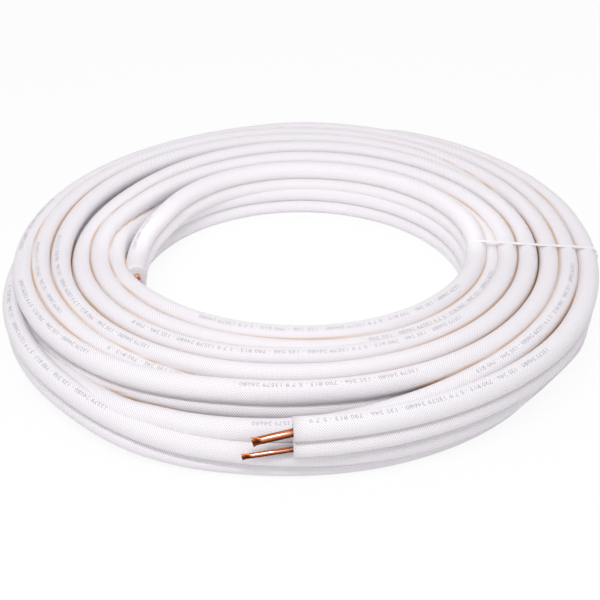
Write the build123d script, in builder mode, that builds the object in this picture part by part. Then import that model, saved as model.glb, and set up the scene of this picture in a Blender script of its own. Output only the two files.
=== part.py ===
import math
import os

from build123d import *

# A flat coil of twin insulated copper line: a gas tube and a liquid tube, each in
# a round foam sleeve, the two sleeves joined by a web and wound standing on edge,
# with the gas tube uppermost, in two layers. The origin is the middle of the
# footprint on the floor, and the outer end of the line is at the front (-Y).

gas_tube = 9.52
gas_wall = 0.81
liquid_tube = 6.35
liquid_wall = 0.76
foam = 9.0
web_overlap = 1.6
tube_clearance = 0.15

bore_radius = 235.0
outer_radius = 413.75
foam_squeeze = 0.8
lower_turns = 7
upper_turns = 6
nested_drop = 9.0
layer_step = 23.3
floor_squash = 0.6

# The wound sleeves have few sides, because so many turns are modelled.
sleeve_sides = 6

peel_angle = -20.0
peel_bite = 2.0
peel_straightening = 38.0
peel_sweep = 66.5

inner_end_angle = 160.0
inner_end_gap = 17.0
inner_end_straightening = 132.0
inner_end_before = 32.0
inner_end_after = 29.5
inner_gap_start = 118.0
inner_gap_end = 250.0
rise_straightening = 61.0
rise_sweep = 46.0

tube_in_sleeve = 30.0
gas_exit = 46.0
gas_sag = 5.0
gas_droop = 14.0
liquid_exit = 57.0
liquid_sag = 4.0
liquid_droop = 8.5
inner_exit = 7.0
pinch_length = 11.0

strap_angle = -7.0
strap_width = 4.8
strap_thickness = 1.2
strap_corner = 12.5
strap_bite = 0.6
strap_clearance = 0.2

gas_r = gas_tube / 2 + foam
liquid_r = liquid_tube / 2 + foam
pair_step = gas_r + liquid_r - web_overlap
liquid_low = liquid_r - floor_squash
gas_low = liquid_low + pair_step
liquid_high = gas_low + layer_step
gas_high = liquid_high + pair_step
coil_height = gas_high + gas_r

# The upper layer has a full turn at the bore, a nested turn sunk between two
# others, and four full turns out to the rim. It's the corners of the sleeves that
# reach the bore and the rim.
corner_reach = 1 / math.cos(math.pi / sleeve_sides)
first_turn = bore_radius + gas_r * corner_reach
last_turn = outer_radius - gas_r * corner_reach
upper_step = 2 * gas_r - foam_squeeze
lower_step = (last_turn - first_turn) / (lower_turns - 1)
nested_turn = (first_turn + last_turn - (upper_turns - 2) * upper_step) / 2


def direction(angle):
    return Vector(math.cos(math.radians(angle)), math.sin(math.radians(angle)), 0)


# The outer end springs off the rim on a wider bend, so it stands out in front, and
# the coil's axis lies as far behind the origin as halves what it stands out.
peel_radius = last_turn - peel_bite + peel_straightening
outer_stop = peel_angle - peel_sweep
outer_bend = direction(peel_angle) * -peel_straightening
peel_edge = peel_radius + gas_r * corner_reach
front_reach = -(outer_bend + direction(outer_stop) * peel_edge).Y
coil_centre = Vector(0, (front_reach - outer_radius) / 2, 0)
outer_centre = coil_centre + outer_bend

# The inner end cuts across the bore on a wider bend too. The next turn moves in
# to take its place.
inner_radius = bore_radius - inner_end_gap + inner_end_straightening
inner_centre = coil_centre - direction(inner_end_angle) * inner_end_straightening
inner_stop = inner_end_angle + inner_end_after
rise_radius = first_turn + rise_straightening
rise_centre = coil_centre - direction(inner_gap_end) * rise_straightening


def section_plane(centre, angle):
    """Upright through a bend's centre, facing back round it, with X outwards."""
    outwards = direction(angle)
    return Plane(centre, x_dir=outwards, z_dir=(outwards.Y, -outwards.X, 0))


def sleeve(sleeve_radius):
    RegularPolygon(sleeve_radius, sleeve_sides, major_radius=False)


def pair_section(radius):
    """The two sleeves of one line in the upper layer, the gas tube's above."""
    with Locations((radius, gas_high)):
        sleeve(gas_r)
    with Locations((radius, liquid_high)):
        sleeve(liquid_r)


def tube_plane(centre, radius, angle, height, droop):
    """Where a tube's modelled end starts inside its sleeve: Z along it, X upwards."""
    turn = -1 if angle < 0 else 1
    exit_point = centre + direction(angle) * radius + Vector(0, 0, height)
    heading = direction(angle + 90) * turn
    down = math.radians(droop)
    along = heading * math.cos(down) - Vector(0, 0, math.sin(down))
    upwards = heading * math.sin(down) + Vector(0, 0, math.cos(down))
    return Plane(exit_point - along * tube_in_sleeve, x_dir=upwards, z_dir=along)


# At the outer end the tubes sag in their sleeves, and droop.
gas_outer_plane = tube_plane(
    outer_centre, peel_radius, outer_stop, gas_high - gas_sag, gas_droop
)
liquid_outer_plane = tube_plane(
    outer_centre, peel_radius, outer_stop, liquid_high - liquid_sag, liquid_droop
)
gas_inner_plane = tube_plane(inner_centre, inner_radius, inner_stop, gas_high, 0)
liquid_inner_plane = tube_plane(inner_centre, inner_radius, inner_stop, liquid_high, 0)

# The strap is pulled tight, so it lies a little inside the crests of the foam, and
# underneath it lies clear of the floor.
strap_plane = section_plane(coil_centre, strap_angle)
strap_low = strap_clearance + strap_thickness
strap_high = coil_height - strap_bite
strap_in = bore_radius + strap_bite
strap_out = outer_radius - strap_bite
strap_middle = ((strap_in + strap_out) / 2, (strap_low + strap_high) / 2)

with BuildPart() as sleeve_coil:
    with BuildSketch(section_plane(coil_centre, 0)):
        with Locations(((first_turn + last_turn) / 2, liquid_low)):
            Rectangle(
                last_turn - first_turn,
                gas_high - liquid_low,
                align=(Align.CENTER, Align.MIN),
            )
        for turn in range(lower_turns):
            with Locations((first_turn + turn * lower_step, liquid_low)):
                sleeve(liquid_r)
        for radius in (first_turn, last_turn):
            with Locations((radius, gas_low)):
                sleeve(gas_r)
        with Locations((nested_turn, gas_high - nested_drop)):
            sleeve(gas_r)
        for turn in range(1, upper_turns - 1):
            with Locations((last_turn - turn * upper_step, gas_high)):
                sleeve(gas_r)
        pair_section(first_turn)
        pair_section(last_turn)
        with Locations(((bore_radius + outer_radius) / 2, -coil_height / 2)):
            Rectangle(2 * outer_radius, coil_height, mode=Mode.SUBTRACT)
    revolve(axis=Axis(coil_centre, (0, 0, 1)))
    # Room in the upper layer, where the inner end leaves and the next turn moves in.
    with BuildSketch(section_plane(coil_centre, inner_gap_start)):
        with Locations((first_turn, gas_low + gas_r)):
            Rectangle(
                2 * gas_r,
                coil_height,
                align=(Align.CENTER, Align.MIN),
            )
    revolve(
        axis=Axis(coil_centre, (0, 0, 1)),
        revolution_arc=inner_gap_end - inner_gap_start,
        mode=Mode.SUBTRACT,
    )
    with BuildSketch(section_plane(rise_centre, inner_gap_end)):
        pair_section(rise_radius)
    revolve(axis=Axis(rise_centre, (0, 0, -1)), revolution_arc=rise_sweep)
    with BuildSketch(section_plane(inner_centre, inner_end_angle - inner_end_before)):
        pair_section(inner_radius)
    revolve(
        axis=Axis(inner_centre, (0, 0, 1)),
        revolution_arc=inner_end_before + inner_end_after,
    )
    with BuildSketch(section_plane(outer_centre, peel_angle)):
        pair_section(peel_radius)
    revolve(axis=Axis(outer_centre, (0, 0, -1)), revolution_arc=peel_sweep)
    # The bores that the copper lies in, as deep as the modelled tube ends reach, and
    # cut on past the end faces, because the tubes leave them a little askew.
    for plane, tube in (
        (gas_outer_plane, gas_tube),
        (liquid_outer_plane, liquid_tube),
        (gas_inner_plane, gas_tube),
        (liquid_inner_plane, liquid_tube),
    ):
        with BuildSketch(plane):
            Circle(tube / 2 + tube_clearance)
        extrude(amount=tube_in_sleeve + inner_exit, mode=Mode.SUBTRACT)
    # The strap has sunk a channel into the foam.
    with BuildSketch(strap_plane):
        with Locations(strap_middle):
            Rectangle(outer_radius - bore_radius + 10, coil_height + 10)
            RectangleRounded(
                strap_out - strap_in - 2 * strap_clearance,
                strap_high - strap_low - 2 * strap_clearance,
                strap_corner - strap_clearance,
                mode=Mode.SUBTRACT,
            )
    extrude(
        amount=strap_width / 2 + strap_clearance,
        both=True,
        mode=Mode.SUBTRACT,
    )


def pinch_taper(tube, wall):
    """How fast a tube widens to the flat that its whole skin is pressed into."""
    flat_width = math.pi * (tube - wall) / 2 + wall
    return math.degrees(math.atan((flat_width - tube) / 2 / pinch_length))


def pinch_side(plane, start):
    """Across a tube where its pinch starts: X along it, Z upwards."""
    return Plane(plane.origin + plane.z_dir * start, x_dir=plane.z_dir, z_dir=plane.x_dir)


def pinch_wedge(tube, wall):
    Polygon(
        (0, tube / 2),
        (0, -tube / 2),
        (pinch_length, -wall),
        (pinch_length, wall),
        align=None,
    )


with BuildPart() as gas_tube_outer_end:
    pinch_start = tube_in_sleeve + gas_exit - pinch_length
    with BuildSketch(gas_outer_plane.offset(pinch_start)):
        Circle(gas_tube / 2)
    extrude(amount=pinch_length, taper=-pinch_taper(gas_tube, gas_wall))
    with BuildSketch(pinch_side(gas_outer_plane, pinch_start)):
        pinch_wedge(gas_tube, gas_wall)
    extrude(amount=gas_tube, both=True, mode=Mode.INTERSECT)
    with BuildSketch(gas_outer_plane):
        Circle(gas_tube / 2)
        Circle(gas_tube / 2 - gas_wall, mode=Mode.SUBTRACT)
    extrude(amount=pinch_start)

with BuildPart() as liquid_tube_outer_end:
    pinch_start = tube_in_sleeve + liquid_exit - pinch_length
    with BuildSketch(liquid_outer_plane.offset(pinch_start)):
        Circle(liquid_tube / 2)
    extrude(amount=pinch_length, taper=-pinch_taper(liquid_tube, liquid_wall))
    with BuildSketch(pinch_side(liquid_outer_plane, pinch_start)):
        pinch_wedge(liquid_tube, liquid_wall)
    extrude(amount=liquid_tube, both=True, mode=Mode.INTERSECT)
    with BuildSketch(liquid_outer_plane):
        Circle(liquid_tube / 2)
        Circle(liquid_tube / 2 - liquid_wall, mode=Mode.SUBTRACT)
    extrude(amount=pinch_start)

with BuildPart() as gas_tube_inner_end:
    with BuildSketch(gas_inner_plane):
        Circle(gas_tube / 2)
        Circle(gas_tube / 2 - gas_wall, mode=Mode.SUBTRACT)
    extrude(amount=tube_in_sleeve + inner_exit)

with BuildPart() as liquid_tube_inner_end:
    with BuildSketch(liquid_inner_plane):
        Circle(liquid_tube / 2)
        Circle(liquid_tube / 2 - liquid_wall, mode=Mode.SUBTRACT)
    extrude(amount=tube_in_sleeve + inner_exit)

with BuildPart() as strap:
    with BuildSketch(strap_plane):
        with Locations(strap_middle):
            RectangleRounded(
                strap_out - strap_in + 2 * strap_thickness,
                strap_high - strap_low + 2 * strap_thickness,
                strap_corner + strap_thickness,
            )
            RectangleRounded(
                strap_out - strap_in,
                strap_high - strap_low,
                strap_corner,
                mode=Mode.SUBTRACT,
            )
    extrude(amount=strap_width / 2, both=True)

sleeve_coil.part.label = "sleeve_coil"
gas_tube_outer_end.part.label = "gas_tube_outer_end"
liquid_tube_outer_end.part.label = "liquid_tube_outer_end"
gas_tube_inner_end.part.label = "gas_tube_inner_end"
liquid_tube_inner_end.part.label = "liquid_tube_inner_end"
strap.part.label = "strap"

os.makedirs("parts", exist_ok=True)
export_step(sleeve_coil.part, "parts/sleeve_coil.step")
export_step(gas_tube_outer_end.part, "parts/gas_tube_outer_end.step")
export_step(liquid_tube_outer_end.part, "parts/liquid_tube_outer_end.step")
export_step(gas_tube_inner_end.part, "parts/gas_tube_inner_end.step")
export_step(liquid_tube_inner_end.part, "parts/liquid_tube_inner_end.step")
export_step(strap.part, "parts/strap.step")
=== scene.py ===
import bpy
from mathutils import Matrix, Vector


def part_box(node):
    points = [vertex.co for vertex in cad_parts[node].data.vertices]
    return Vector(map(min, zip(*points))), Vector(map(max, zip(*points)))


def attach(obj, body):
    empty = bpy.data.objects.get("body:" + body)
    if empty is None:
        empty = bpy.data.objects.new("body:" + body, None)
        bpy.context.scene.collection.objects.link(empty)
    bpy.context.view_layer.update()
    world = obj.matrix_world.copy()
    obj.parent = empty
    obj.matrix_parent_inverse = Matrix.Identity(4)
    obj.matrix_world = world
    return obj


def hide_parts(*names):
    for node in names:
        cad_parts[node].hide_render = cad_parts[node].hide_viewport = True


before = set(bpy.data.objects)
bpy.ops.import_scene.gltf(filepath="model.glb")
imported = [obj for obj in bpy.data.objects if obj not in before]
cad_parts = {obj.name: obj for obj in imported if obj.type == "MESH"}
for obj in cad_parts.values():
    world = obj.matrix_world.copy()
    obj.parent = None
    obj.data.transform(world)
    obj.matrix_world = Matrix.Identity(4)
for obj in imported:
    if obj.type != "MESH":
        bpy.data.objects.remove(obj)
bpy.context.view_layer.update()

import math

import bpy
import numpy as np
from mathutils import Vector
from mathutils.bvhtree import BVHTree

mm = 0.001
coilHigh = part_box("sleeve_coil")[1]
coilAxis = Vector((0, coilHigh.y - coilHigh.x, 0))  # the rim is round, and its back edge is clear


# Helpers for every piece and material.

def newMaterial(name, roughness):
    material = bpy.data.materials.new(name)
    material.use_nodes = True
    nodes, links = material.node_tree.nodes, material.node_tree.links
    shader = nodes["Principled BSDF"]
    shader.inputs["Roughness"].default_value = roughness
    return material, nodes, links, shader


# Mixes two tones by a factor. A tone is three numbers, or a socket that gives a colour.
def mixTones(nodes, links, factor, *tones):
    mix = nodes.new("ShaderNodeMix")
    mix.data_type = "RGBA"
    links.new(factor, mix.inputs["Factor"])
    for socketName, tone in zip("AB", tones):
        if isinstance(tone, tuple):
            mix.inputs[socketName].default_value = (*tone, 1)
        else:
            links.new(tone, mix.inputs[socketName])
    return mix.outputs["Result"]


def addBump(nodes, links, shader, height, depth, strength=1):
    bump = nodes.new("ShaderNodeBump")
    bump.inputs["Distance"].default_value = depth * mm
    bump.inputs["Strength"].default_value = strength
    links.new(height, bump.inputs["Height"])
    links.new(bump.outputs["Normal"], shader.inputs["Normal"])


def placedTexture(nodes, links, kind, scale, stretch=None):
    place = nodes.new("ShaderNodeTexCoord").outputs["Object"]
    if stretch:
        mapping = nodes.new("ShaderNodeMapping")
        mapping.inputs["Scale"].default_value = stretch
        links.new(place, mapping.inputs["Vector"])
        place = mapping.outputs["Vector"]
    texture = nodes.new(kind)
    texture.inputs["Scale"].default_value = scale
    links.new(place, texture.inputs["Vector"])
    return texture


def storedValue(nodes, name):
    attribute = nodes.new("ShaderNodeAttribute")
    attribute.attribute_name = name
    return attribute.outputs["Fac"]


def linkedObject(name, mesh):
    piece = bpy.data.objects.new(name, mesh)
    bpy.context.scene.collection.objects.link(piece)
    return piece


def finishPiece(piece, materials):
    for material in materials:
        piece.data.materials.append(material)
    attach(piece, "root")
    return piece


# One twin sleeve, in millimetres. The gas sleeve is wound uppermost, and the liquid
# sleeve hangs under it, so stations and heights are of the gas sleeve's middle.
sleeve = {
    "gasRadius": 13.76,
    "liquidRadius": 12.175,
    "pitch": 24.335,
    "gasSides": 28,
    "liquidSides": 24,
    "ringStep": 2.5,  # degrees of winding from ring to ring
    "color": (0.92, 0.90, 0.915),
    "roughness": 0.5,
    "gloss": 0.3,
    # painted shade of the embossed hatch, where its two sets of bands cross
    "paintedHatchShade": (0.55, 0.51, 0.56),
    "hatchPitch": 2.2,
    "hatchDepth": 0.5,
    "hatchStrength": 0.8,
    "hatchTurn": 38,  # degrees off the sleeve's length
    # painted shade: the warm colour deep between turns, where the next turn is near
    "paintedCreviceShade": (0.75, 0.54, 0.37),
    "creviceReach": 3.0,
    "creviceStart": 0.7,  # share of the reach at which the shade begins
    "creviceFade": 0.55,  # share over which it deepens
    "creviceCurve": 1.6,
    "notchFaces": 4,  # faces beside a notch over which the shade comes in
    # painted shade, darkest in the middle of each cell, where the bump is lowest
    "cutColor": (0.62, 0.60, 0.63),
    "cutRoughness": 0.9,
    "cellScale": 900,
    "cellDepth": 0.3,
}


# A smooth curve through stations that are unevenly spaced.
def smoothThrough(xs, ys, at):
    xs, ys = np.array(xs, float), np.array(ys, float)
    steps = np.diff(ys) / np.diff(xs)
    slopes = np.gradient(ys, xs)
    for k in range(1, len(xs) - 1):  # flat where the stations turn back, so nothing overshoots
        if steps[k - 1] * steps[k] <= 0:
            slopes[k] = 0
    k = np.clip(np.searchsorted(xs, at, side="right") - 1, 0, len(xs) - 2)
    h = xs[k + 1] - xs[k]
    t = (at - xs[k]) / h
    rise = ys[k] + (ys[k + 1] - ys[k]) * t * t * (3 - 2 * t)
    return rise + h * t * (1 - t) * (slopes[k] * (1 - t) - slopes[k + 1] * t)


# Stations are (angle in degrees, radius and height in millimetres) round the coil's axis,
# and a fourth number leans the pair, its liquid sleeve inwards.
def windingPath(stations):
    angles, radii, heights, leans = zip(*[(*station, 0)[:4] for station in stations])
    count = int((angles[-1] - angles[0]) / sleeve["ringStep"]) + 1
    at = np.linspace(angles[0], angles[-1], count)
    radius, height = smoothThrough(angles, radii, at), smoothThrough(angles, heights, at)
    turn = np.radians(at)
    path = np.stack([radius * np.cos(turn), radius * np.sin(turn), height], 1) * mm
    return at, path + np.array(coilAxis), np.radians(smoothThrough(angles, leans, at))


# At each point of a path: the way along it, to its side and up, and the length so far.
def pathFrames(path):
    along = np.gradient(path, axis=0)
    along /= np.linalg.norm(along, axis=1)[:, None]
    side = np.cross(along, (0, 0, 1))
    side /= np.linalg.norm(side, axis=1)[:, None]
    steps = np.linalg.norm(np.diff(path, axis=0), axis=1)
    return along, side, np.cross(side, along), np.concatenate([[0], np.cumsum(steps)])


# The outline of the pair: two circles that meet in a notch, where the web joins them.
def pairProfile():
    gas, liquid, pitch = sleeve["gasRadius"], sleeve["liquidRadius"], sleeve["pitch"]
    drop = (pitch**2 + gas**2 - liquid**2) / (2 * pitch)  # gas sleeve's middle to the notch
    points = []
    for radius, sides, start, middle, toNotch in (
        (gas, sleeve["gasSides"], -90, 0, drop),
        (liquid, sleeve["liquidSides"], 90, -pitch, pitch - drop),
    ):
        notch = math.degrees(math.acos(toNotch / radius))
        for k in range(sides):
            a = math.radians(start + notch + (360 - 2 * notch) * k / sides)
            points.append((radius * math.cos(a), radius * math.sin(a) + middle))
    return np.array(points) * mm


# The radius, height and lean change all along a path, so the sleeve is swept in mesh code.
# Its UV map holds the length along the sleeve and round it, so the embossing isn't stretched.
def sweptPiece(name, path, lean, profile):
    _, side, up, length = pathFrames(path)
    rings, sides = len(path), len(profile)
    across = np.cos(lean)[:, None] * profile[:, 0] + np.sin(lean)[:, None] * profile[:, 1]
    above = np.cos(lean)[:, None] * profile[:, 1] - np.sin(lean)[:, None] * profile[:, 0]
    verts = path[:, None] + across[:, :, None] * side[:, None] + above[:, :, None] * up[:, None]
    verts[:, :, 2] = np.maximum(verts[:, :, 2], 0)  # the foam is pressed flat on the floor
    closed = np.vstack([profile, profile[:1]])
    around = np.concatenate([[0], np.cumsum(np.linalg.norm(np.diff(closed, axis=0), axis=1))])
    faces, skin = [], []
    for r in range(rings - 1):
        for k in range(sides):
            n = (k + 1) % sides
            faces.append((r * sides + k, (r + 1) * sides + k, (r + 1) * sides + n, r * sides + n))
            skin += [(length[r], around[k]), (length[r + 1], around[k])]
            skin += [(length[r + 1], around[k + 1]), (length[r], around[k + 1])]
    quads = len(faces)
    faces += [tuple(range(sides)), tuple(range(rings * sides - 1, (rings - 1) * sides - 1, -1))]
    skin += [tuple(p) for p in profile] + [tuple(p) for p in profile[::-1]]
    mesh = bpy.data.meshes.new(name)
    mesh.from_pydata(verts.reshape(-1, 3).tolist(), [], faces)
    mesh.uv_layers.new(name="skin").data.foreach_set("uv", np.array(skin).ravel())
    mesh.polygons.foreach_set("use_smooth", [True] * quads + [False] * 2)
    mesh.polygons.foreach_set("material_index", [0] * quads + [1] * 2)
    mesh.update()
    return linkedObject(name, mesh)


def bandMask(nodes, links, vector, turn):
    bandPeriod = math.pi / 10  # of the wave texture at a scale of 1
    mapping = nodes.new("ShaderNodeMapping")
    mapping.inputs["Rotation"].default_value = (0, 0, math.radians(turn))
    wave = nodes.new("ShaderNodeTexWave")
    wave.inputs["Scale"].default_value = bandPeriod / (sleeve["hatchPitch"] * mm)
    wave.inputs["Distortion"].default_value = 0
    links.new(vector, mapping.inputs["Vector"])
    links.new(mapping.outputs["Vector"], wave.inputs["Vector"])
    return wave.outputs["Fac"]


# The skin: embossed diamonds that run along the sleeve, with painted shade where their bands cross,
# and a warm painted shade deep between turns.
def foamSkin():
    material, nodes, links, shader = newMaterial("foamSkin", sleeve["roughness"])
    shader.inputs["Specular IOR Level"].default_value = sleeve["gloss"]
    uv = nodes.new("ShaderNodeUVMap")
    uv.uv_map = "skin"
    diamonds = nodes.new("ShaderNodeMath")
    diamonds.operation = "MULTIPLY"
    for k, turn in enumerate((sleeve["hatchTurn"], -sleeve["hatchTurn"])):
        links.new(bandMask(nodes, links, uv.outputs["UV"], turn), diamonds.inputs[k])
    hatch = diamonds.outputs["Value"]
    addBump(nodes, links, shader, hatch, sleeve["hatchDepth"], sleeve["hatchStrength"])
    # painted shade: darker where the hatch's bands cross
    skinWithHatchShade = mixTones(nodes, links, hatch, sleeve["color"], sleeve["paintedHatchShade"])
    # painted shade between turns, by how near the next turn is
    skinWithCreviceShade = mixTones(nodes, links, storedValue(nodes, "paintedCreviceShade"), skinWithHatchShade, sleeve["paintedCreviceShade"])
    links.new(skinWithCreviceShade, shader.inputs["Base Color"])
    return material


# The cut foam at a sleeve's end shows its cells, with painted shade in their pits.
def foamCore():
    material, nodes, links, shader = newMaterial("foamCore", sleeve["cutRoughness"])
    cells = placedTexture(nodes, links, "ShaderNodeTexVoronoi", sleeve["cellScale"])
    fromCell = cells.outputs["Distance"]
    addBump(nodes, links, shader, fromCell, sleeve["cellDepth"])
    # painted shade in the cells' pits
    shade = mixTones(nodes, links, fromCell, sleeve["cutColor"], sleeve["color"])
    links.new(shade, shader.inputs["Base Color"])
    return material


# The upper layer, from the outer free end at the front inwards, six and a half turns.
upperStations = [
    (-91.26, 420.2, 83.5), (-84, 416, 83.5), (-75, 412.3, 83.5), (-60, 408.5, 83.5),
    (-50, 407, 83.5), (-40, 405.5, 83.5), (-30, 402.5, 83.5), (-19, 399.5, 83.5),
    (-7, 398.5, 83.5), (4, 398.5, 83.5), (11, 399.9, 83.5), (22, 401.5, 83), (35, 405, 82),
    (50, 408, 81), (60, 409, 80.5), (67, 408.5, 79), (73, 406, 73), (80, 402, 66),
    (90, 398, 60), (135, 393, 57), (180, 390, 56), (205, 390, 52, 20), (225, 396, 50, 35),
    (240, 407, 55, 35), (245, 402, 54.5, 35), (250, 399.5, 54.5, 35), (260, 394, 55.5, 35),
    (270, 390, 58, 35), (285, 383, 67, 25), (300, 378, 75, 10), (315, 375.5, 80),
    (330, 374, 83), (360, 372, 83.5), (390, 380, 83.5), (420, 391, 83.5), (450, 399.5, 83.5),
    (463, 392, 83.5), (476, 387, 83.5), (491, 385, 83.5), (525, 385, 83.5), (540, 386, 83.5),
    (552, 387.5, 83.5), (585, 386, 83.5), (600, 378, 83.5), (606, 372, 83.5),
    (616, 362.5, 83.5), (630, 355.5, 83.5), (645, 353, 83.5), (660, 352, 83.5),
    (690, 348, 83.5), (720, 347, 83.5), (750, 352, 83.5), (780, 364, 83.5), (810, 375, 83.5),
    (840, 376, 83.5), (870, 372, 83.5), (900, 366, 83.5), (930, 362, 82.5), (945, 360, 80),
    (960, 350, 72), (990, 341, 62), (1020, 334, 60), (1050, 332, 60), (1080, 330, 62),
    (1100, 331, 68), (1118, 335, 76), (1140, 344, 83.5), (1170, 350, 83.5), (1200, 349, 83.5),
    (1230, 344, 83.5), (1260, 338, 83.5), (1305, 337, 83.5), (1330, 331, 83.5),
    (1350, 324.5, 83.5), (1380, 321, 83.5), (1410, 319, 83.5), (1440, 317.5, 83.5),
    (1470, 316, 83.5), (1500, 317, 83.5), (1530, 316, 83.5), (1560, 309, 82.5),
    (1590, 302, 79), (1620, 308, 76), (1640, 310, 80), (1665, 307, 83), (1690, 300, 83.5),
    (1710, 292, 83.5), (1740, 292, 83.5), (1770, 291, 83.5), (1800, 290, 83.5),
    (1830, 284, 82), (1860, 281, 80.5), (1890, 281, 79.7), (1920, 276, 79), (1950, 274, 79),
    (1980, 284, 80), (2000, 284, 82), (2025, 280, 82), (2050, 272, 80.5), (2070, 268.5, 78),
    (2100, 270, 76), (2130, 270, 74.5), (2160, 269, 74.5), (2190, 266, 70), (2220, 266, 62),
    (2250, 270, 50), (2280, 276, 42), (2310, 280, 38),
]
# The inner turn comes up out of the bore's wall, and ends at the bore's left.
innerStations = [
    (110, 280, 40), (140, 270, 46), (160, 264, 58), (180, 262, 72), (200, 262, 80),
    (225, 254, 83.5), (270, 245.5, 83.5), (315, 247, 83.5), (360, 248.8, 83.5), (400, 249, 80),
    (450, 250, 76), (480, 242, 78), (505, 226, 82), (520, 219, 83.5), (545, 228, 83.5),
    (564.9, 243.9, 83.54),
]
# The lower layer comes up to the rim at the left, and lies down again towards the front.
lowerStations = [
    (120, 380, 40), (150, 386, 50), (170, 390, 57), (186, 396, 61), (193, 401, 61.5),
    (201, 407, 61.5), (209, 412, 61.5), (218, 416, 60), (228, 416.5, 55), (240, 416, 46.5),
    (245, 415, 43, 4), (250, 413, 40, 8), (260, 407, 36, 14), (270, 404.5, 34.7, 18),
    (283, 403.5, 33.7, 24), (297, 400.5, 33.2, 27), (309, 395.5, 33.4, 26),
    (317, 389.5, 34.4, 20), (325, 390, 35.4, 14), (331, 393, 35.8, 8), (336, 395.5, 36.2),
    (342, 398, 36.2), (360, 399.9, 36.2), (450, 398, 36.2), (540, 394, 36.2),
    (560, 392, 33.5, -16), (573, 390, 31, -28), (592, 388, 31, -28), (606, 384, 33, -18),
    (620, 376, 36.2), (640, 372, 36.2), (720, 374, 36.2), (990, 356, 36.2),
    (1080, 349.5, 36.2), (1440, 324.5, 36.2), (1800, 299, 36.2), (2160, 274, 36.2),
    (2520, 248.8, 36.2), (2880, 248.8, 36.2),
]


# Painted shade between turns: how near the next turn is, 0 to 1. The notch of a pair stays the
# colour of the foam.
def creviceShade(turns, sides):
    reach = sleeve["creviceReach"] * mm
    points, polygons, start = [], [], 0
    for piece in turns:
        points += [v.co.copy() for v in piece.data.vertices]
        polygons += [tuple(i + start for i in face.vertices) for face in piece.data.polygons]
        start = len(points)
    tree = BVHTree.FromPolygons(points, polygons)
    for piece in turns:
        depth = []
        for vertex in piece.data.vertices:
            k = vertex.index % sides
            fromNotch = min(k, abs(k - sleeve["gasSides"]), sides - k)
            probe = vertex.co + vertex.normal * reach
            near = tree.find_nearest(probe, reach)
            openness = near[3] / reach if near[0] is not None else 1
            closeness = (sleeve["creviceStart"] - openness) / sleeve["creviceFade"]
            shade = min(1, max(0, closeness)) ** sleeve["creviceCurve"]
            depth.append(shade * min(1, fromNotch / sleeve["notchFaces"]))
        layer = piece.data.attributes.new("paintedCreviceShade", "FLOAT", "POINT")
        layer.data.foreach_set("value", depth)


foam = (foamSkin(), foamCore())
paths = {}


def woundPiece(name, stations):
    angles, path, lean = windingPath(stations)
    paths[name] = (angles, path)
    return finishPiece(sweptPiece(name, path, lean, pairProfile()), foam)


upperTurns = woundPiece("upper_turns", upperStations)
innerTurn = woundPiece("inner_turn", innerStations)
woundPiece("lower_turns", lowerStations)
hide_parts("sleeve_coil")
creviceShade([upperTurns, innerTurn], sleeve["gasSides"] + sleeve["liquidSides"])
print("sleeves wound")

# Plain figures in one line along the gas sleeve, read from the outer side.
marks = {
    "figures": "13579 24680 - 135 246 - 790 813 - 5 7 9 ",
    "height": 7.6,
    "advance": 0.52,  # from figure to figure, as a share of the height
    "middle": 0.35,  # of a figure, as a share of the height
    "lean": 74,  # degrees up round the sleeve, from its outer side
    "lift": 0.15,
    "color": (0.36, 0.36, 0.40),
    "worn": (0.62, 0.61, 0.66),
    "wearScale": 260,
    "roughness": 0.6,
    "runs": [  # the piece, and the angles where a line starts and ends
        ("upper_turns", -45, -89), ("upper_turns", 346, 302), ("upper_turns", 652, 618),
        ("upper_turns", 590, 560), ("upper_turns", 548, 525), ("upper_turns", 935, 905),
        ("upper_turns", 1000, 950), ("upper_turns", 1318, 1262), ("upper_turns", 1752, 1668),
        ("upper_turns", 2140, 2086), ("inner_turn", 325, 240), ("inner_turn", 553, 528),
        ("lower_turns", 238, 196), ("upper_turns", 269, 262),
    ],
}


def printInk():
    material, nodes, links, shader = newMaterial("printInk", marks["roughness"])
    wearAndPaintedLight = placedTexture(nodes, links, "ShaderNodeTexNoise", marks["wearScale"])
    tone = mixTones(nodes, links, wearAndPaintedLight.outputs["Fac"], marks["color"], marks["worn"])
    links.new(tone, shader.inputs["Base Color"])
    return material


def flatLine(room):
    count = int(room / (marks["height"] * mm * marks["advance"]))
    repeats = count // len(marks["figures"]) + 1
    bpy.ops.object.select_all(action="DESELECT")
    bpy.ops.object.text_add(location=(0, 0, 0))
    text = bpy.context.object.data
    text.body = (marks["figures"] * repeats)[:count]
    text.size = marks["height"] * mm
    text.resolution_u = 2
    bpy.ops.object.convert(target="MESH")
    bpy.ops.object.mode_set(mode="EDIT")
    bpy.ops.mesh.select_all(action="SELECT")
    bpy.ops.mesh.subdivide(number_cuts=1)  # so that the figures bend with the sleeve
    bpy.ops.object.mode_set(mode="OBJECT")
    return bpy.context.object


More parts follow.
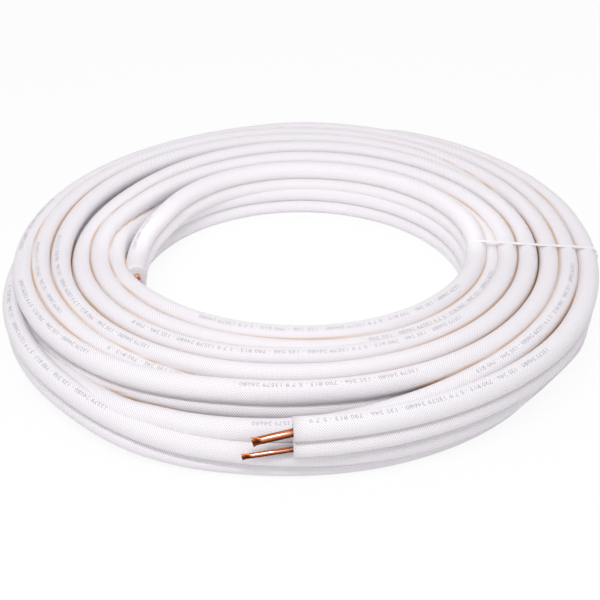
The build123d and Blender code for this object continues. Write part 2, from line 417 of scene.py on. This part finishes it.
# A line fills its run, and is bent onto the top of the gas sleeve.
def printRun(pieceName, first, last):
    angles, path = paths[pieceName]
    _, side, up, length = pathFrames(path)
    begin, end = np.interp(first, angles, length), np.interp(last, angles, length)
    line = flatLine(begin - end)
    flat = np.zeros(len(line.data.vertices) * 3)
    line.data.vertices.foreach_get("co", flat)
    flat = flat.reshape(-1, 3)
    at = begin - flat[:, 0] * (begin - end) / flat[:, 0].max()
    radius = (sleeve["gasRadius"] + marks["lift"]) * mm
    fromMiddle = flat[:, 1] - marks["middle"] * marks["height"] * mm
    lean = math.radians(marks["lean"]) - fromMiddle / radius
    centre, sideways, upwards = [
        np.stack([np.interp(at, length, rows[:, axis]) for axis in range(3)], 1)
        for rows in (path, side, up)
    ]
    outwards = np.cos(lean)[:, None] * sideways + np.sin(lean)[:, None] * upwards
    line.data.vertices.foreach_set("co", (centre + radius * outwards).ravel())
    line.data.update()
    return line


def printPiece():
    lines = [printRun(*run) for run in marks["runs"]]
    bpy.ops.object.select_all(action="DESELECT")
    for line in lines:
        line.select_set(True)
    bpy.context.view_layer.objects.active = lines[0]
    bpy.ops.object.join()
    piece = bpy.context.object
    piece.name = "print_marks"
    piece.data.name = "print_marks"
    return finishPiece(piece, (printInk(),))


printPiece()
print("figures printed")

# The four tube ends. Their painted light runs from 0, a painted highlight, to 1, painted shade.
copper = {
    # the ends of the ramp are a painted highlight and painted shade; color is the copper's own
    "paintedHighlight": (1.0, 0.74, 0.58),
    "color": (0.62, 0.175, 0.07),
    "paintedShade": (0.07, 0.012, 0.005),
    "colorAt": 0.38,  # the level on the ramp that shows the plain color
    "roughness": 0.14,
    "streakStretch": (40, 500, 500),
    "streakScale": 1.6,
    "streakShade": 0.12,
    "streakDepth": 0.004,
    # where the painted highlight band lies round the tube, and its width
    "highlightAt": 133,  # degrees round the tube, from its back over its top
    "highlightSpread": 17,
    # the level away from the painted highlight band
    "offHighlightLevel": 0.5,
    # the inner ends take a colour near the painted highlight all over, painted light
    "cutEndLevel": 0.1,
    # painted shade on the tube's underside, lifted a little at the very bottom
    "underShadeFrom": 0.42,  # heights on the tube, as shares of its radius
    "underShadeFade": 0.3,
    "undersideLift": 0.35,
    "gasRadius": 4.76,
    "gasWall": 0.81,
    "liquidRadius": 3.175,
    "liquidWall": 0.76,
    "pinchLength": 12.0,
    "pinchSteps": 24,
    "pinchHollow": 0.8,
    "sides": 28,
}


# Drawn copper, with faint lines along the tube, and a colour that runs from a painted highlight to
# painted shade by the stored level.
def drawnCopper():
    material, nodes, links, shader = newMaterial("drawnCopper", copper["roughness"])
    shader.inputs["Metallic"].default_value = 1
    streaks = placedTexture(
        nodes, links, "ShaderNodeTexNoise", copper["streakScale"], copper["streakStretch"]
    ).outputs["Fac"]
    darken = nodes.new("ShaderNodeMath")
    darken.operation = "MULTIPLY_ADD"
    darken.inputs[1].default_value = copper["streakShade"]
    links.new(streaks, darken.inputs[0])
    links.new(storedValue(nodes, "wearAndPaintedLight"), darken.inputs[2])
    tone = nodes.new("ShaderNodeValToRGB")
    tone.color_ramp.elements[0].color = (*copper["paintedHighlight"], 1)
    tone.color_ramp.elements[1].color = (*copper["paintedShade"], 1)
    tone.color_ramp.elements.new(copper["colorAt"]).color = (*copper["color"], 1)
    addBump(nodes, links, shader, streaks, copper["streakDepth"])
    links.new(darken.outputs["Value"], tone.inputs["Fac"])
    links.new(tone.outputs["Color"], shader.inputs["Base Color"])
    return material


copperMaterial = drawnCopper()


# A tube's axis, from the node's own vertices: its start, its direction and its length.
def tubeAxis(nodeName, towards):
    points = np.array([tuple(v.co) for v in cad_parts[nodeName].data.vertices])
    middle = points.mean(0)
    direction = np.linalg.svd(points - middle)[2][0]
    direction *= np.sign(direction @ np.array(towards))
    reach = (points - middle) @ direction
    return middle + direction * reach.min(), direction, reach.max() - reach.min()


# A painted highlight in a band along the top of a tube, and painted shade under it.
def paintedHighlightAndShade(a):
    # painted highlight at the band, painted shade under the tube, a little lighter at the very
    # bottom
    off = (math.degrees(a) - copper["highlightAt"]) / copper["highlightSpread"]
    top = copper["offHighlightLevel"] * (1 - math.exp(-off * off))
    under = min(1, max(0, copper["underShadeFrom"] - math.sin(a)) / copper["underShadeFade"])
    return max(top, under - copper["undersideLift"] * max(0, -math.sin(a)))


# Rings are (reach along the tube, half width, half height, waist, fold shade). A waist draws the
# sides in between top and bottom, and the fold shade darkens them with painted shade. The section
# changes from ring to ring and its painted light is stored at each point, so this is mesh code.
def tubePiece(nodeName, ending, axis, rings, paintedLightAt):
    start, direction, _ = axis
    upright = np.array((0, 0, 1)) - direction[2] * direction
    upright /= np.linalg.norm(upright)
    across = np.cross(direction, upright)
    sides = copper["sides"]
    verts, wearAndPaintedLight = [], []
    for reach, half, tall, waist, foldShade in rings:
        for k in range(sides):
            a = 2 * math.pi * k / sides
            thick = half * math.cos(a) * (1 - waist * (1 - abs(math.sin(a))))
            spot = start + direction * reach + across * thick + upright * tall * math.sin(a)
            verts.append(tuple(spot))
            # painted shade in a fold, on the sides, or the stored painted light, whichever is
            # darker
            wearAndPaintedLight.append(max(foldShade * (1 - abs(math.sin(a)) ** 3), paintedLightAt(a)))
    faces = []
    for r in range(len(rings) - 1):
        for k in range(sides):
            n = (k + 1) % sides
            faces.append((r * sides + k, r * sides + n, (r + 1) * sides + n, (r + 1) * sides + k))
    last = (len(rings) - 1) * sides
    faces += [tuple(range(sides - 1, -1, -1)), tuple(range(last, last + sides))]
    mesh = bpy.data.meshes.new(nodeName + ending)
    mesh.from_pydata(verts, [], faces)
    mesh.polygons.foreach_set("use_smooth", [True] * (len(faces) - 2) + [False] * 2)
    # the painted highlight and shade are stored at each point
    mesh.attributes.new("wearAndPaintedLight", "FLOAT", "POINT").data.foreach_set("value", wearAndPaintedLight)
    mesh.update()
    piece = linkedObject(nodeName + ending, mesh)
    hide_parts(nodeName)
    return finishPiece(piece, (copperMaterial,))


# The outer ends are pinched flat and upright, with a hollow where the walls meet.
def pinchedEnd(nodeName, tube):
    radius, wall = copper[tube + "Radius"] * mm, copper[tube + "Wall"] * mm
    axis = tubeAxis(nodeName, (-1, 0, 0))
    pinchStart = axis[2] - copper["pinchLength"] * mm
    flat = (math.pi * (2 * radius - wall) / 2 + wall) / 2  # half the height when it is pressed flat
    rings = [(0, radius, radius, 0, 0)]
    for k in range(copper["pinchSteps"] + 1):
        t = k / copper["pinchSteps"]
        shut = min(1, t * t * (3 - 2 * t) * 1.12)  # shut a little before the very end
        half = radius + (wall - radius) * shut
        tall = radius + (flat - radius) * t**1.6
        waist = copper["pinchHollow"] * math.sin(math.pi * min(1, t * 1.06))
        # painted shade in the pinch's fold
        foldShade = math.sin(math.pi * min(1, t * 1.04)) ** 1.2
        rings.append((pinchStart + copper["pinchLength"] * mm * t, half, tall, waist, foldShade))
    return tubePiece(nodeName, "_pinched", axis, rings, paintedHighlightAndShade)


# The inner ends are cut square, and their burr turns in over the bore.
def cutEnd(nodeName, tube):
    radius = copper[tube + "Radius"] * mm
    axis = tubeAxis(nodeName, (0, -1, 0))
    rings = [(0, radius, radius, 0, 0)]
    for back, share, foldShade in (  # millimetres back from the cut, share of the radius, and painted fold shade
        (0.8, 1, 0), (0.3, 0.985, 0), (0, 0.93, 0), (0.2, 0.78, 0), (1.4, 0.78 * 0.92, 0.4),
    ):
        # the last ring, inside the cut end, takes painted shade
        rings.append((axis[2] - back * mm, radius * share, radius * share, 0, foldShade))
    return tubePiece(nodeName, "_cut", axis, rings, lambda a: copper["cutEndLevel"])


pinchedEnd("gas_tube_outer_end", "gas")
pinchedEnd("liquid_tube_outer_end", "liquid")
cutEnd("gas_tube_inner_end", "gas")
cutEnd("liquid_tube_inner_end", "liquid")
print("copper ends made")

strap = {
    "color": (0.93, 0.92, 0.93),
    "roughness": 0.25,
    "lightThrough": 0.12,
    "ior": 1.4,
    "grainScale": 1500,
    "grainDepth": 0.08,
}


def strapNylon():
    material, nodes, links, shader = newMaterial("strapNylon", strap["roughness"])
    shader.inputs["Base Color"].default_value = (*strap["color"], 1)
    shader.inputs["Transmission Weight"].default_value = strap["lightThrough"]
    shader.inputs["IOR"].default_value = strap["ior"]
    grain = placedTexture(nodes, links, "ShaderNodeTexNoise", strap["grainScale"])
    addBump(nodes, links, shader, grain.outputs["Fac"], strap["grainDepth"])
    return material


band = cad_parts["strap"]
band.data.materials.clear()
band.data.materials.append(strapNylon())
print("strap finished")

studioLight = {
    "world": (0.98, 0.965, 1.0),
    "worldStrength": 0.68,
    "lamps": [  # place, what it points at, size, watts
        ((-0.2, -1.0, 1.45), (0, 0, 0), (1.0, 0.16), 12.5),
        ((0.4, 0.6, 1.9), (0, 0, 0), (1.6, 1.6), 3.5),
        ((0, -0.02, 0.19), (0, 0.27, 0.04), (0.5, 0.1), 0.18),
    ],
    "floorSize": 30,
    "floorDrop": 0.5,  # millimetres under the coil
    "floorColor": (0.9, 0.9, 0.9),
    "floorRoughness": 0.9,
    "floorWhite": 0.9,  # the rest of the floor keeps the coil's shadow
}


# The camera, and what shines or lets light through, see white.
def whiteToCamera(nodes, links, shaderOut, target, share):
    path = nodes.new("ShaderNodeLightPath")
    seen = path.outputs["Is Camera Ray"]
    for ray in ("Is Glossy Ray", "Is Transmission Ray"):
        either = nodes.new("ShaderNodeMath")
        either.operation = "MAXIMUM"
        links.new(seen, either.inputs[0])
        links.new(path.outputs[ray], either.inputs[1])
        seen = either.outputs["Value"]
    amount = nodes.new("ShaderNodeMath")
    amount.operation = "MULTIPLY"
    amount.inputs[1].default_value = share
    onWorld = target.node.type == "OUTPUT_WORLD"
    white = nodes.new("ShaderNodeBackground" if onWorld else "ShaderNodeEmission")
    white.inputs["Color"].default_value = (1, 1, 1, 1)
    white.inputs["Strength"].default_value = 1
    mix = nodes.new("ShaderNodeMixShader")
    links.new(seen, amount.inputs[0])
    links.new(amount.outputs["Value"], mix.inputs["Fac"])
    links.new(shaderOut, mix.inputs[1])
    links.new(white.outputs[0], mix.inputs[2])
    links.new(mix.outputs["Shader"], target)


def paleFloor():
    bpy.ops.object.select_all(action="DESELECT")
    drop = studioLight["floorDrop"] * mm
    bpy.ops.mesh.primitive_plane_add(size=studioLight["floorSize"], location=(0, 0, -drop))
    floor = bpy.context.object
    floor.name = "floor"
    material, nodes, links, shader = newMaterial("paleFloor", studioLight["floorRoughness"])
    shader.inputs["Base Color"].default_value = (*studioLight["floorColor"], 1)
    surface = nodes["Material Output"].inputs["Surface"]
    whiteToCamera(nodes, links, shader.outputs["BSDF"], surface, studioLight["floorWhite"])
    floor.data.materials.append(material)


def paleWorld():
    world = bpy.data.worlds.new("studio")
    bpy.context.scene.world = world
    world.use_nodes = True
    nodes, links = world.node_tree.nodes, world.node_tree.links
    sky = nodes["Background"]
    sky.inputs["Color"].default_value = (*studioLight["world"], 1)
    sky.inputs["Strength"].default_value = studioLight["worldStrength"]
    whiteToCamera(nodes, links, sky.outputs[0], nodes["World Output"].inputs["Surface"], 1)


def softLamp(location, aim, size, energy):
    bpy.ops.object.light_add(type="AREA", location=location)
    lamp = bpy.context.object
    lamp.data.shape = "RECTANGLE"
    lamp.data.size, lamp.data.size_y = size
    lamp.data.energy = energy
    lamp.visible_camera = False
    towards = Vector(aim) - Vector(location)
    lamp.rotation_euler = towards.to_track_quat("-Z", "Y").to_euler()


paleFloor()
paleWorld()
for lampValues in studioLight["lamps"]:
    softLamp(*lampValues)
print("studio lit")

view = {
    "target": (-2.0, -101.6, 45),  # millimetres from the coil's axis on the floor
    "elevation": 32.46,
    "distance": 1348,
    "lens": 59.22,
    "sensor": 36,
}


def photoCamera():
    target = Vector(view["target"]) * mm + coilAxis
    rise = math.radians(view["elevation"])
    away = Vector((0, -math.cos(rise), math.sin(rise))) * view["distance"] * mm
    bpy.ops.object.camera_add(location=target + away)
    camera = bpy.context.object
    camera.rotation_euler = (-away).to_track_quat("-Z", "Y").to_euler()
    camera.data.lens = view["lens"]
    camera.data.sensor_width = view["sensor"]
    bpy.context.scene.camera = camera


photoCamera()
bpy.context.scene.view_settings.view_transform = "Standard"
print("camera set")
